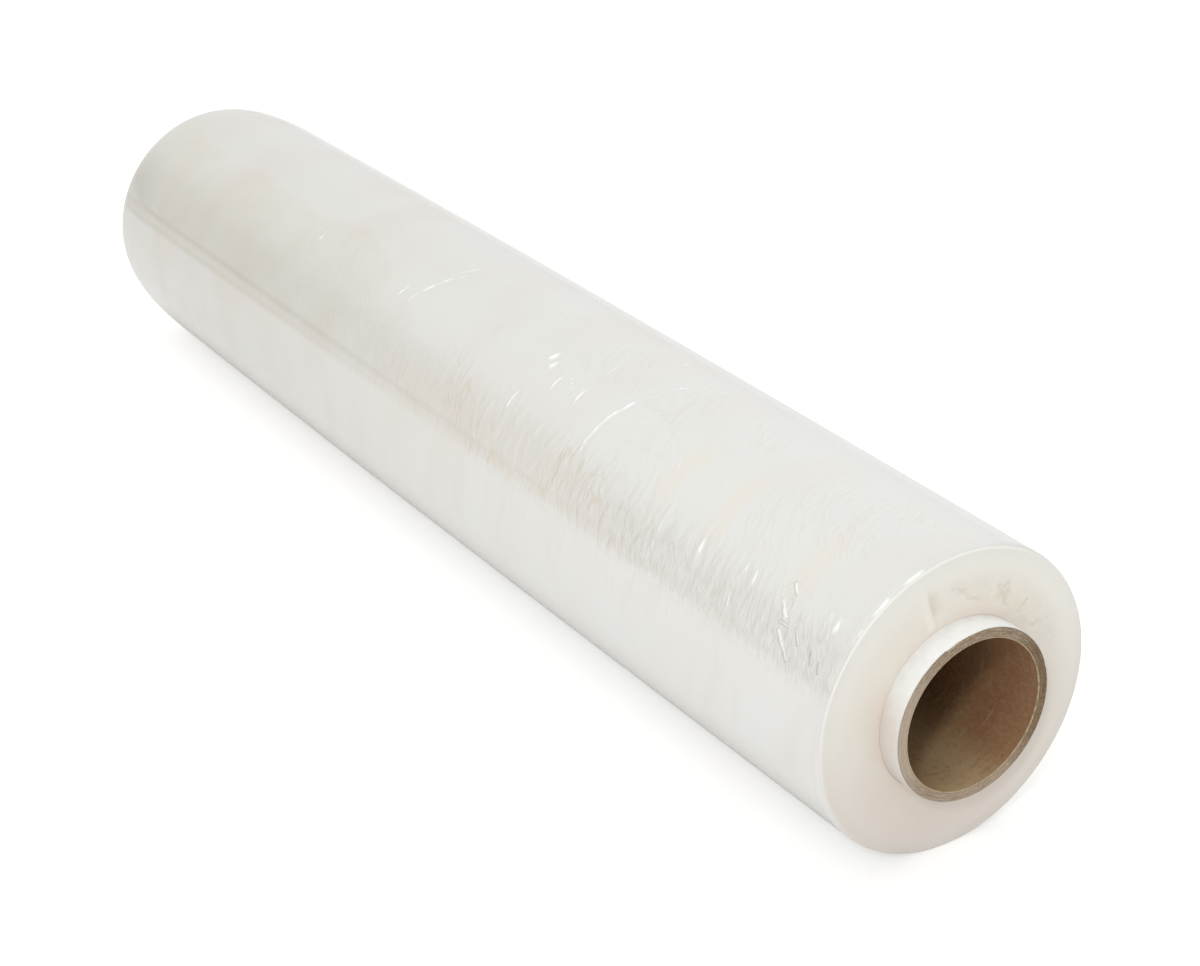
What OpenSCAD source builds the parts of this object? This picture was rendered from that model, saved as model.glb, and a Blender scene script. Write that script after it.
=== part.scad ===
// A hand roll of clear stretch wrap on a board core, lying on its side.
// The roll's axis runs along X with its near end at +X, and Z is up from the surface that it lies on.
// A direction round the roll is an angle from straight up that grows towards the front, at -Y.

/* [Film] */
// Width of the film, which is the length of the wound body
film_w = 500; // [250:10:700]
// Diameter of the wound body where it is fullest
roll_d = 102.6; // [84:0.2:150]
// Radius lost to the crown at the near end
near_crown = 0.8; // [0:0.1:2]
// Radius lost to the crown at the far end
far_crown = 1.3; // [0:0.1:2]
// Length over which the near edge is rounded
near_edge_len = 2.4; // [1:0.1:10]
// Radius lost to the rounding of the near edge
near_edge_drop = 1.2; // [0.5:0.1:5]
// Length over which the slumped far edge is rounded
far_edge_len = 34; // [5:1:60]
// Radius lost to the rounding of the far edge
far_edge_drop = 4.4; // [0.5:0.1:6]
// Depth of the flat that the soft roll settles on
rest_flat_depth = 1.4; // [0.8:0.1:3]

/* [Winding] */
// Height of the step at the film's loose tail
tail_step = 0.2; // [0.1:0.05:0.6]
// Direction of the tail, on the lower side of the roll's back
tail_angle = 215; // [200:5:250]
// Spacing of the bands of turns that show on the end faces
band_pitch = 1.9; // [1:0.1:4]
// How far the tightest band of turns stands proud of its end face
band_relief = 0.16; // [0.05:0.01:0.4]
// Plain margin between the bands and the edges of an end face
band_margin = 1.5; // [0.8:0.1:4]
// Height of the tension folds in the outer turns
fold_h = 0.4; // [0.1:0.05:0.6]
// Radius of a tension fold's rounded crest
fold_r = 1.2; // [0.8:0.1:2.5]

/* [Core] */
// Bore of the board core, which a dispenser's spindle fits
core_bore_d = 50; // [38:0.5:52]
// Thickness of the core's brown board
board_t = 3.25; // [2:0.05:5]
// Number of board plies wound into the core
ply_count = 7; // [4:1:10]
// Depth of the lines between the plies on the cut ends
ply_line_depth = 0.15; // [0.05:0.05:0.4]
// How far the core stands out of the film at each end
core_proud = 8.5; // [2:0.5:25]
// Width of the gap where the outer ply's edges meet
seam_gap = 0.9; // [0.4:0.1:2]
// Length of that gap, in from the cut end
seam_len = 6.5; // [2:0.5:12]
// Lead angle of the plies' spiral, from square across the core
seam_lead = 32; // [10:1:45]

/* [Facing] */
// Thickness of the white facing paper round the core
facing_t = 0.3; // [0.2:0.05:0.8]
// How far the facing stops short of the core's cut end
facing_setback = 0.25; // [0.1:0.05:1]
// Glue line between board and facing
glue_t = 0.05; // [0.02:0.01:0.1]
// Slack between the facing and the first turn of film
wind_gap = 0.05; // [0.02:0.01:0.2]

/* [Hidden] */
$fn = 180;
crest_fn = 48;

roll_r = roll_d / 2;
axis_z = roll_r - rest_flat_depth;
near_face_r = roll_r - near_crown - near_edge_drop;
far_face_r = roll_r - far_crown - far_edge_drop;

bore_r = core_bore_d / 2;
board_r = bore_r + board_t;
facing_r = board_r + glue_t + facing_t;
film_bore_r = facing_r + wind_gap;
core_len = film_w + 2 * core_proud;
ply_t = board_t / ply_count;

// Share of a ply's thickness that slopes down to the line on each side of it
ply_slope = 0.12;
// Shares of the bands' pitch: a whole proud band, and the slope on each side of it
band_share = 0.7;
band_slope = 0.2;
// Share by which the bands' heights differ, and the angle that steps them out of order
band_spread = 0.6;
band_phase = 137;
// How deep an added ring is rooted in the body, and how far a cut runs past what it cuts
root = 2;
past = 1;

crown_stations = 24;
far_arc_steps = 9;
near_arc_steps = 5;

// Each tension fold: place along the axis as a share of the film's width,
// direction, spread round the roll, and lean of its line from square across
folds = [
  [-0.042, 24, 50, -9],
  [0.122, 38, 56, 3],
  [0.168, 22, 60, -4],
  [0.194, -14, 36, 6],
  [0.212, 28, 78, -5],
  [0.262, 92, 56, 4],
  [0.280, 38, 40, 8],
  [0.438, 54, 48, -7],
  [0.462, 62, 40, 5]
];

// Directions at which the outer ply's edges meet on the two cut ends
near_seams = [27, 288];
far_seams = [75, 190];

// Radius lost to the crown at a place along the axis
function crown_drop(x) = (x > 0 ? near_crown : far_crown) * pow(2 * x / film_w, 2);

// Radius of the wound body away from its rounded edges
function body_r(x) = roll_r - crown_drop(x);

// Point on a rounded edge: end is 1 at the near end and -1 at the far one
function edge_point(end, len, drop, turn) =
  let (x = end * (film_w / 2 - len * (1 - sin(turn))))
  [body_r(x) - drop * (1 - cos(turn)), x];

// Outline of the wound body from the axis out, as radius and place along the axis
function wound_outline(extra) =
  let (
    first = -film_w / 2 + far_edge_len,
    last = film_w / 2 - near_edge_len,
    far = [for (i = [0 : far_arc_steps - 1])
      edge_point(-1, far_edge_len, far_edge_drop, 90 * (1 - i / far_arc_steps))],
    crown = [for (i = [0 : crown_stations])
      let (x = first + (last - first) * i / crown_stations) [body_r(x), x]],
    near = [for (i = [1 : near_arc_steps])
      edge_point(1, near_edge_len, near_edge_drop, 90 * i / near_arc_steps)]
  )
  concat(
    [[0, -film_w / 2]],
    [for (p = concat(far, crown, near)) [p[0] + extra, p[1]]],
    [[0, film_w / 2]]
  );

// How proud a band stands: the film's tension varied, so no two bands match
function band_height(i) = band_relief * (1 - band_spread * (1 - sin(band_phase * i)) / 2);

// Outline of the core's wall, with a fine line between each two plies on both cut ends
function core_outline() =
  let (
    end = core_len / 2,
    top = [for (i = [0 : ply_count - 1])
      let (r = bore_r + i * ply_t)
      each [
        [r + ply_t * ply_slope, end],
        [r + ply_t * (1 - ply_slope), end],
        [r + ply_t, end - ply_line_depth]
      ]]
  )
  concat(
    [[bore_r, end - ply_line_depth]],
    top,
    [for (i = [len(top) - 1 : -1 : 0]) [top[i][0], -top[i][1]]],
    [[bore_r, ply_line_depth - end]]
  );

// Lays what stands along Z on the roll's axis, turned so that its +X faces the given direction
module on_axis(direction = 0) {
  translate([0, 0, axis_z])
    rotate([direction, 0, 0])
      rotate([0, 90, 0])
        rotate([0, 0, 180])
          children();
}

// Half a turn of the wound body, with its centre moved out and its radius grown by the same amount
module wound_half(side, grow) {
  translate([grow, 0, 0])
    rotate([0, 0, side * 90 - 90])
      rotate_extrude(angle = 180)
        polygon(wound_outline(grow));
}

// The two halves make a spiral outline that steps down at the film's loose tail
module wound_body() {
  on_axis(tail_angle) {
    wound_half(1, 0);
    wound_half(-1, tail_step / 2);
  }
}

// One band of turns, as a ring that stands proud of the end face
module band_ring(inner_r, height) {
  outer_r = inner_r + band_pitch * band_share;
  slope = band_pitch * band_slope;
  rotate_extrude()
    polygon([
      [inner_r, -root],
      [inner_r, 0],
      [inner_r + slope, height],
      [outer_r - slope, height],
      [outer_r, 0],
      [outer_r, -root]
    ]);
}

// All the bands on one end face: end is 1 at the near end and -1 at the far one
module face_bands(end, face_r) {
  first_r = film_bore_r + band_margin;
  count = floor((face_r - band_margin - first_r) / band_pitch);
  on_axis()
    mirror([0, 0, end > 0 ? 0 : 1])
      translate([0, 0, film_w / 2])
        for (i = [0 : 1 : count - 1])
          band_ring(first_r + i * band_pitch, band_height(i));
}

// A leaning ring set off centre, which rises out of the outer turn and sinks back over the spread
module tension_fold(x, direction, spread, lean) {
  crest_r = body_r(x) + fold_h - fold_r;
  half_spread = spread / 2 * PI / 180;
  sink = 1 + 2 * fold_h / (crest_r * pow(half_spread, 2));
  ring_r = crest_r / (sink * pow(cos(lean), 2));
  on_axis(direction)
    translate([crest_r - ring_r, 0, x])
      rotate([lean, 0, 0])
        rotate_extrude()
          translate([ring_r, 0])
            circle(r = fold_r, $fn = crest_fn);
}

// The gap that the outer ply's meeting edges leave in the rim of a cut end
module seam_notch(end, direction) {
  on_axis(direction)
    translate([board_r, 0, end * core_len / 2])
      rotate([end * seam_lead, 0, 0])
        cube([2 * ply_t, seam_gap, 2 * seam_len], center = true);
}

module core_tube() {
  color("tan")
    difference() {
      on_axis()
        rotate_extrude()
          polygon(core_outline());
      for (direction = near_seams)
        seam_notch(1, direction);
      for (direction = far_seams)
        seam_notch(-1, direction);
    }
}

module core_facing() {
  length = core_len - 2 * facing_setback;
  color("white")
    on_axis()
      difference() {
        cylinder(r = facing_r, h = length, center = true);
        cylinder(r = board_r + glue_t, h = length + 2 * past, center = true);
      }
}

module film_roll() {
  color("ivory")
    difference() {
      union() {
        wound_body();
        face_bands(1, near_face_r);
        face_bands(-1, far_face_r);
        for (fold = folds)
          tension_fold(fold[0] * film_w, fold[1], fold[2], fold[3]);
      }
      on_axis()
        cylinder(r = film_bore_r, h = film_w + 2 * (band_relief + past), center = true);
      translate([0, 0, -roll_r])
        cube([film_w + 2 * (band_relief + past), 4 * roll_r, 2 * roll_r], center = true);
    }
}

core_tube();
core_facing();
film_roll();
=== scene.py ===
# Looks of a hand roll of clear stretch film on a board core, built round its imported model.
import math

import bmesh
import bpy
import numpy as np
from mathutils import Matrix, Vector


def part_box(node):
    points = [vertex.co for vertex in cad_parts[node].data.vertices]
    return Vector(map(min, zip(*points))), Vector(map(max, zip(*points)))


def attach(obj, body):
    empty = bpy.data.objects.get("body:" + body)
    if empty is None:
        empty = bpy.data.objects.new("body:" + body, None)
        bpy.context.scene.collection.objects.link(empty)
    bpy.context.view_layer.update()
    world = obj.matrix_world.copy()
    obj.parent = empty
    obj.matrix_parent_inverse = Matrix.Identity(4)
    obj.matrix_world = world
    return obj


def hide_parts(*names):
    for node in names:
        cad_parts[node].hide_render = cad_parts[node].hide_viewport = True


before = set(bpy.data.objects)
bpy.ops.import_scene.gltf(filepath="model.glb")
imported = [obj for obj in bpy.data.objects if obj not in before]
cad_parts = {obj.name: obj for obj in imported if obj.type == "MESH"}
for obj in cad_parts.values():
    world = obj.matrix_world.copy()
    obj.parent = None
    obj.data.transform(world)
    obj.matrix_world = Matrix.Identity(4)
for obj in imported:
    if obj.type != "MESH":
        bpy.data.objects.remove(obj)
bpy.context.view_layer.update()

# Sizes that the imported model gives, in metres. The roll's axis runs along X, and its near end is at +X.
coreLow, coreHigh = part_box("core_tube")
facingLow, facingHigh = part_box("core_facing")
axisHeight = (coreLow.z + coreHigh.z) / 2
boardRadius = (coreHigh.z - coreLow.z) / 2
boardHalf = coreHigh.x
facingRadius = (facingHigh.z - facingLow.z) / 2
facingHalf = facingHigh.x
print("frame loaded, the axis is", round(axisHeight * 1000, 1), "mm up")


# Camera

cameraView = {
    "target": (0.058, 0.0, 0.0431),
    "azimuth": 56.904,  # degrees, and 0 looks along +Y
    "elevation": 26.209,
    "distance": 0.898,
    "lens": 76.32,
    "sensor": 36.0,
}


def directionTo(azimuth, elevation):
    azimuth, elevation = math.radians(azimuth), math.radians(elevation)
    flat = math.cos(elevation)
    return Vector((math.sin(azimuth) * flat, -math.cos(azimuth) * flat, math.sin(elevation)))


def linkObject(name, data):
    made = bpy.data.objects.new(name, data)
    bpy.context.scene.collection.objects.link(made)
    return made


def placeCamera(view):
    lens = bpy.data.cameras.new("camera")
    lens.lens = view["lens"]
    lens.sensor_width = view["sensor"]
    camera = linkObject("camera", lens)
    back = directionTo(view["azimuth"], view["elevation"])
    camera.location = Vector(view["target"]) + back * view["distance"]
    camera.rotation_euler = back.to_track_quat("Z", "Y").to_euler()
    bpy.context.scene.camera = camera


placeCamera(cameraView)
bpy.context.scene.view_settings.view_transform = "Standard"
print("camera placed")


# Shader maths: a Wire is one socket, and Graph.node makes any node from its type, settings and sockets


class Wire:
    def __init__(self, graph, socket):
        self.graph = graph
        self.socket = socket

    def __add__(self, other):
        return self.graph.maths("ADD", self, other)

    def __sub__(self, other):
        return self.graph.maths("SUBTRACT", self, other)

    def __mul__(self, other):
        return self.graph.maths("MULTIPLY", self, other)

    def __truediv__(self, other):
        return self.graph.maths("DIVIDE", self, other)

    def __rsub__(self, other):
        return self.graph.maths("SUBTRACT", other, self)

    def __neg__(self):
        return self.graph.maths("MULTIPLY", self, -1.0)

    def __abs__(self):
        return self.graph.maths("ABSOLUTE", self)

    __radd__ = __add__
    __rmul__ = __mul__


class Graph:
    def __init__(self, tree):
        self.tree = tree
        tree.nodes.clear()

    def node(self, kind, settings=None, sockets=None):
        made = self.tree.nodes.new("ShaderNode" + kind)
        for name, value in (settings or {}).items():
            setattr(made, name, value)
        for key, value in (sockets or {}).items():
            target = made.inputs[key] if isinstance(key, int) else self.socketNamed(made, key)
            if isinstance(value, Wire):
                self.tree.links.new(value.socket, target)
            else:
                target.default_value = value
        return {out.name: Wire(self, out) for out in made.outputs if out.enabled}

    def socketNamed(self, made, name):
        return next(entry for entry in made.inputs if entry.enabled and entry.name == name)

    def maths(self, operation, *values):
        sockets = dict(enumerate(values))
        return self.node("Math", {"operation": operation}, sockets)["Value"]

    def ease(self, value, low, high):  # 0 below low and 1 above high, with a smooth rise between
        span = {"Value": value, "From Min": low, "From Max": high}
        return self.node("MapRange", {"interpolation_type": "SMOOTHSTEP"}, span)["Result"]

    def span(self, turn, *angles):  # 1 between the two middle angles and 0 outside the outer two
        low, rise, fall, high = [math.radians(angle) for angle in angles]
        return self.ease(turn, low, rise) * (1.0 - self.ease(turn, fall, high))

    def tint(self, mask, low, high, way="MIX"):  # one colour where the mask is 0, the other where it is 1
        settings = {"data_type": "RGBA", "blend_type": way}
        return self.node("Mix", settings, {"Factor": mask, "A": low, "B": high})["Result"]

    def noise(self, vector, scale, detail, rough=0.5):
        sockets = {"Vector": vector, "Scale": scale, "Detail": detail, "Roughness": rough}
        return self.node("TexNoise", None, sockets)["Fac"]

    def vector(self, x, y, z):
        return self.node("CombineXYZ", None, {"X": x, "Y": y, "Z": z})["Vector"]

    def bump(self, height, distance):
        return self.node("Bump", None, {"Height": height, "Distance": distance, "Strength": 1.0})["Normal"]

    def strokeGap(self, point, start, stop, width):  # 0 on a line in the plane of point, 1 at its width
        run = [b - a for a, b in zip(start, stop)]
        length = math.hypot(*run)
        along = [part / length / width for part in run]
        across = [-along[1], along[0]]
        middle = [(a + b) / 2 for a, b in zip(start, stop)]
        gaps = []
        for way in (across, along):
            offset = -(way[0] * middle[0] + way[1] * middle[1])
            sockets = {0: point, 1: (*way, offset)}
            gaps.append(abs(self.node("VectorMath", {"operation": "DOT_PRODUCT"}, sockets)["Value"]))
        return self.maths("MAXIMUM", gaps[0], gaps[1] - length / 2 / width)

    def finish(self, shader):
        self.node("OutputMaterial", None, {"Surface": shader})


def startMaterial(name):
    material = bpy.data.materials.new(name)
    material.use_nodes = True
    return material, Graph(material.node_tree)


def rollCoordinates(graph):  # the place itself and its parts, then its angle from the top and its radius
    place = graph.node("TexCoord")["Object"]
    axes = graph.node("SeparateXYZ", None, {"Vector": place})
    up = axes["Z"] - axisHeight
    turn = graph.maths("ARCTAN2", -axes["Y"], up)
    radius = graph.maths("SQRT", axes["Y"] * axes["Y"] + up * up)
    return place, axes["X"], axes["Y"], up, turn, radius


# Stage: floor, surroundings and lamps

studio = {
    "floorReach": 30.0,
    "floorDrop": 0.0002,
    "floorColour": (0.70, 0.70, 0.69, 1.0),
    "floorLift": 0.44,
    "glossShare": 0.16,  # of that lift, which the film's reflections show
    "glossBehind": 0.16,  # what they show on top of that behind the roll
    "diffuseShare": 0.12,  # of that lift, which reaches the roll as light
    "skyColour": (1.0, 0.990, 0.962, 1.0),
    "darkColour": (0.20, 0.18, 0.14, 1.0),
    "skyStrength": 0.63,
    "glossStrength": 0.84,
    "darkTurn": 37.0,  # degrees from -X towards the front, where the room's dark side is
    "darkSpread": 24.0,
    "darkFade": (0.22, 0.56),  # sines of the elevations between which the dark side fades
    "lamps": [
        # name, azimuth, elevation, strength, width in degrees, and whether reflections show it
        ("keyLamp", 40.0, 40.0, 0.62, 7.0, True),
        ("frontLamp", 353.0, 18.0, 0.14, 14.0, True),
        ("lowLamp", 30.0, 6.0, 0.60, 30.0, False),
        ("backLamp", 180.0, 45.0, 0.62, 30.0, False),
    ],
    "strip": {"place": (-0.42, -0.80, 1.90), "size": (0.42, 2.70), "power": 11.2},
}


def makeFloor(spec):
    mesh = bmesh.new()
    bmesh.ops.create_grid(mesh, x_segments=1, y_segments=1, size=spec["floorReach"])
    bmesh.ops.translate(mesh, vec=(0, 0, -spec["floorDrop"]), verts=mesh.verts)
    data = bpy.data.meshes.new("studioFloor")
    mesh.to_mesh(data)
    mesh.free()
    floor = linkObject("studioFloor", data)
    material, graph = startMaterial("studioFloor")
    rays = graph.node("LightPath")
    across = graph.node("SeparateXYZ", None, {"Vector": graph.node("TexCoord")["Object"]})["Y"]
    mirrored = spec["glossShare"] + spec["glossBehind"] * graph.ease(across, 0.02, 0.25)
    seen = graph.maths("MAXIMUM", rays["Is Camera Ray"], rays["Is Transmission Ray"])
    seen = graph.maths("MAXIMUM", seen, rays["Is Glossy Ray"] * mirrored)
    seen = graph.maths("MAXIMUM", seen, rays["Is Diffuse Ray"] * spec["diffuseShare"])
    lift = spec["floorLift"]
    sockets = {
        "Base Color": spec["floorColour"],
        "Roughness": 0.75,
        "Specular IOR Level": 0.1,
        "Emission Color": graph.tint(seen, (0.0, 0.0, 0.0, 1.0), (lift, lift, lift, 1.0)),
        "Emission Strength": 1.0,
    }
    graph.finish(graph.node("BsdfPrincipled", None, sockets)["BSDF"])
    data.materials.append(material)


def makeSurroundings(spec):
    world = bpy.data.worlds.new("studio")
    world.use_nodes = True
    bpy.context.scene.world = world
    graph = Graph(world.node_tree)
    look = graph.node("TexCoord")["Generated"]
    axes = graph.node("SeparateXYZ", None, {"Vector": look})
    turn = graph.maths("ARCTAN2", -axes["Y"], -axes["X"])
    off = (turn - math.radians(spec["darkTurn"])) / math.radians(spec["darkSpread"])
    side = graph.maths("EXPONENT", -(off * off))
    uneven = (graph.noise(look, 7.0, 3.0) - 0.5) * 0.25
    low = 1.0 - graph.ease(axes["Z"] + uneven, spec["darkFade"][0], spec["darkFade"][1])
    rays = graph.node("LightPath")
    glossy = rays["Is Glossy Ray"]
    colour = graph.tint(side * low, spec["skyColour"], spec["darkColour"])
    seen = graph.maths("MAXIMUM", rays["Is Camera Ray"], rays["Is Transmission Ray"])
    colour = graph.tint(seen, colour, (1.0, 1.0, 1.0, 1.0))
    unseen = spec["skyStrength"] + glossy * (spec["glossStrength"] - spec["skyStrength"])
    strength = seen + (1.0 - seen) * unseen
    glow = graph.node("Background", None, {"Color": colour, "Strength": strength})["Background"]
    graph.node("OutputWorld", None, {"Surface": glow})


def makeLamps(spec):
    strip = bpy.data.lights.new("stripLamp", "AREA")
    strip.shape = "RECTANGLE"
    strip.size, strip.size_y = spec["strip"]["size"]
    strip.energy = spec["strip"]["power"]
    holder = linkObject("stripLamp", strip)
    holder.location = spec["strip"]["place"]
    holder.rotation_euler = Vector(spec["strip"]["place"]).to_track_quat("Z", "Y").to_euler()
    for name, azimuth, elevation, strength, width, shown in spec["lamps"]:
        lamp = bpy.data.lights.new(name, "SUN")
        lamp.energy = strength
        lamp.angle = math.radians(width)
        holder = linkObject(name, lamp)
        holder.visible_glossy = shown
        holder.rotation_euler = directionTo(azimuth, elevation).to_track_quat("Z", "Y").to_euler()


makeFloor(studio)
makeSurroundings(studio)
makeLamps(studio)
print("studio built")


# Helpers for turned pieces


def spinOutline(outline, steps):  # outline is a closed list of (place along X, radius)
    mesh = bmesh.new()
    corners = [mesh.verts.new((x, 0, axisHeight + radius)) for x, radius in outline]
    sides = [mesh.edges.new(pair) for pair in zip(corners, corners[1:] + corners[:1])]
    bmesh.ops.spin(
        mesh, geom=corners + sides, cent=(0, 0, axisHeight), axis=(1, 0, 0), dvec=(0, 0, 0),
        angle=math.tau, steps=steps, use_merge=True, use_duplicate=False,
    )
    bmesh.ops.remove_doubles(mesh, verts=mesh.verts, dist=1e-7)
    bmesh.ops.recalc_face_normals(mesh, faces=mesh.faces)
    return mesh


def turnOf(point):  # degrees from the top towards the front
    return math.degrees(math.atan2(-point.y, point.z - axisHeight))


def refine(mesh, wanted):  # splits every face whose centre is wanted into four
    faces = [face for face in mesh.faces if wanted(face.calc_center_median())]
    edges = {edge for face in faces for edge in face.edges}
    bmesh.ops.subdivide_edges(mesh, edges=list(edges), cuts=1, use_grid_fill=True)


def sliceFaces(mesh, wanted, cuts):  # cuts every wanted face's edges that run along the roll
    edges = set()
    for face in mesh.faces:
        if wanted(face.calc_center_median()):
            edges.update(e for e in face.edges if abs(e.verts[0].co.x - e.verts[1].co.x) > 1e-5)
    bmesh.ops.subdivide_edges(mesh, edges=list(edges), cuts=cuts, use_grid_fill=True)


def readRoll(data):  # every vertex as place along X, angle in degrees and radius
    flat = np.empty(len(data.vertices) * 3)
    data.vertices.foreach_get("co", flat)
    points = flat.reshape(-1, 3)
    y, up = points[:, 1], points[:, 2] - axisHeight
    return points[:, 0].copy(), np.degrees(np.arctan2(-y, up)), np.hypot(y, up)


def writeRoll(data, x, turn, radius, floorLevel=None):
    angle = np.radians(turn)
    height = axisHeight + radius * np.cos(angle)
    if floorLevel is not None:
        height = np.maximum(height, floorLevel)
    points = np.stack([x, -radius * np.sin(angle), height], axis=1)
    data.vertices.foreach_set("co", points.ravel())
    data.update()


def makePiece(name, mesh, material):
    data = bpy.data.meshes.new(name)
    mesh.to_mesh(data)
    mesh.free()
    data.shade_smooth()
    data.materials.append(material)
    return linkObject(name, data)


def smoothRise(value, low, high):
    share = np.clip((value - low) / (high - low), 0, 1)
    return share * share * (3 - 2 * share)


def aroundWave(turn, seed, count, low, high):  # a gentle wave round the roll, with no seam
    draw = np.random.default_rng(seed)
    total = np.zeros_like(turn)
    for _ in range(count):
        beat = draw.integers(low, high)
        total += draw.uniform(0.4, 1.0) * np.sin(np.radians(turn * beat) + draw.uniform(0, math.tau))
    return total / math.sqrt(count)


# Film

film = {
    "half": 0.25,  # half the film's width
    "restFlat": 0.0014,  # depth of the flat that it lies on
    "crown": (0.0008, 0.0013),  # radius lost at the near end and at the far end
    "nearEdge": (0.0024, 0.0012),  # length and drop of the rounding
    "farEdge": (0.034, 0.0044),
    "boreGap": 0.00005,
    "steps": 120,  # round the roll
    "ringFine": 0.0012,  # spacing of the rings where the film is wrinkled
    "ringCoarse": 0.0026,
    "wrinkled": (-0.050, 0.2445),  # along X
    "wrinkledTurn": (-27, 109),  # degrees
    "faceRings": 22,
    "peachPlaces": (0.1495, 0.1765, 0.2200),  # along X
    "creaseTurn": 20.6,  # of the pale fold that runs from the core over the near face
    "creaseBend": 1.7,  # degrees that it turns back towards the rim
    "tailStep": 0.0002,
    "tailTurn": 215.0,  # where the loose tail lies
    "seed": 7,
    "fineCount": 330,  # how many short slack wrinkles there are
    "colours": {  # those named Dim are multiplied in, and the others are mixed in
        "waxOuter": (0.902, 0.886, 0.834, 1),
        "waxInnerShade": (0.840, 0.775, 0.692, 1),
        "waxLowShade": (0.70, 0.61, 0.55, 1),
        "waxCoreShade": (0.74, 0.64, 0.56, 1),
        "waxCloud": (0.86, 0.84, 0.80, 1),
        "waxYellowed": (0.72, 0.655, 0.53, 1),
        "creaseShade": (0.58, 0.51, 0.39, 1),
        "foldLight": (0.90, 0.87, 0.795, 1),
        "foldShade": (0.60, 0.53, 0.38, 1),
        "milk": (0.760, 0.763, 0.750, 1),
        "milkBeige": (0.742, 0.724, 0.690, 1),
        "farShadeDim": (0.88, 0.875, 0.865, 1),
        "shoulderShadeDim": (0.935, 0.935, 0.93, 1),
        "slumpReflectionUpper": (0.585, 0.530, 0.445, 1),
        "slumpReflectionLower": (0.520, 0.482, 0.378, 1),
        "farTipShade": (0.40, 0.37, 0.35, 1),
        "reflectedEdgeDim": (0.90, 0.885, 0.87, 1),
        "lowShadeDim": (0.895, 0.885, 0.875, 1),
        "lowStreak": (0.66, 0.585, 0.525, 1),
        "lowLit": (0.86, 0.86, 0.85, 1),
        "peach": (0.745, 0.685, 0.600, 1),
        "footShade": (0.80, 0.70, 0.62, 1),
        "bellyLight": (0.87, 0.865, 0.85, 1),
        "reflectedTan": (0.61, 0.52, 0.39, 1),
        "loopShade": (0.62, 0.50, 0.35, 1),
        "hairShade": (0.53, 0.475, 0.395, 1),
        "fur": (0.50, 0.46, 0.41, 1),
        "crestGlint": (0.95, 0.95, 0.94, 1),
        "rimShadeDim": (0.93, 0.94, 0.96, 1),
        "rimHighlight": (0.98, 0.98, 0.99, 1),
    },
}
rollRadius = axisHeight + film["restFlat"]
filmBore = facingRadius + film["boreGap"]

# The folds that show from a step away: place, angle and half length in degrees, lean and bow of the
# line in mm over that half length, half width in mm and height in mm
longFolds = [
    (-19.0, 24.0, 17.0, -7.0, 1.0, 0.60, 0.24),
    (-16.0, 9.0, 5.0, -1.5, 0.0, 0.50, 0.16),
    (-30.0, 33.0, 5.0, -1.0, 0.0, 0.50, 0.16),
    (-95.0, 32.0, 4.0, 2.0, 0.0, 0.60, 0.16),
    (-101.0, 30.0, 3.0, 1.0, 0.0, 0.50, 0.14),
    (60.0, 46.5, 6.5, 0.6, 0.9, 0.45, 0.24),
    (60.4, 23.0, 3.8, -0.8, 0.0, 0.95, 0.42),
    (63.6, 26.0, 3.4, -0.9, 0.0, 0.85, 0.40),
    (72.0, 32.0, 5.5, 0.6, 0.4, 0.45, 0.24),
    (79.0, 29.0, 4.0, 6.0, 0.3, 0.40, 0.20),
    (86.0, 31.0, 6.0, 0.8, 0.5, 0.45, 0.26),
    (85.0, 14.0, 5.0, 0.8, 0.6, 0.40, 0.20),
    (91.0, 20.0, 2.0, 1.0, 0.0, 0.40, 0.22),
    (96.0, -12.0, 5.0, 0.8, 0.3, 0.45, 0.22),
    (105.0, 31.0, 20.0, -3.6, 2.8, 0.55, 0.34),
    (112.5, 5.0, 5.0, -3.0, 0.0, 0.50, 0.26),
    (123.0, -7.0, 3.5, -1.0, 0.2, 0.45, 0.24),
    (118.0, -3.0, 3.0, -2.0, 0.2, 0.40, 0.18),
    (139.5, 38.0, 4.0, 2.5, 0.2, 0.45, 0.24),
    (146.0, 33.0, 2.4, 1.2, 0.0, 0.40, 0.18),
    (197.0, 62.0, 3.5, 1.0, 0.0, 0.40, 0.20),
    (206.0, 58.0, 2.6, 1.0, 0.0, 0.35, 0.18),
    (-168.0, -62.0, 16.0, 1.6, 0.8, 0.95, 0.26),
    (-112.0, -94.0, 12.0, -1.4, 0.6, 0.90, 0.24),
    (-60.0, -70.0, 20.0, 2.2, -1.0, 1.00, 0.30),
    (8.0, -104.0, 14.0, -1.5, 0.5, 0.90, 0.26),
    (47.0, -58.0, 18.0, 2.0, 1.0, 0.95, 0.28),
    (88.0, -88.0, 24.0, -2.6, 1.4, 1.00, 0.32),
    (141.0, -66.0, 12.0, 1.4, 0.0, 0.90, 0.24),
    (176.0, -98.0, 16.0, 1.8, -0.8, 0.95, 0.28),
    (214.0, -72.0, 14.0, -1.5, 0.6, 0.90, 0.26),
]

# Slack turns that lean so far that they glint in short slanting lines, with their glint also painted on:
# from and to as place along X and angle, and half width in mm
slantFolds = [
    (217.1, 51.8, 221.1, 55.9, 1.10),
    (221.3, 61.0, 224.6, 64.2, 1.05),
    (224.6, 64.2, 228.4, 67.9, 0.80),
    (217.6, 45.0, 220.3, 47.4, 0.85),
    (227.4, 57.2, 230.4, 61.1, 0.75),
    (220.0, 58.2, 223.4, 58.0, 0.65),
    (236.5, 61.0, 238.0, 64.5, 0.45),
    (241.0, 62.5, 242.0, 65.5, 0.45),
]
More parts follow.
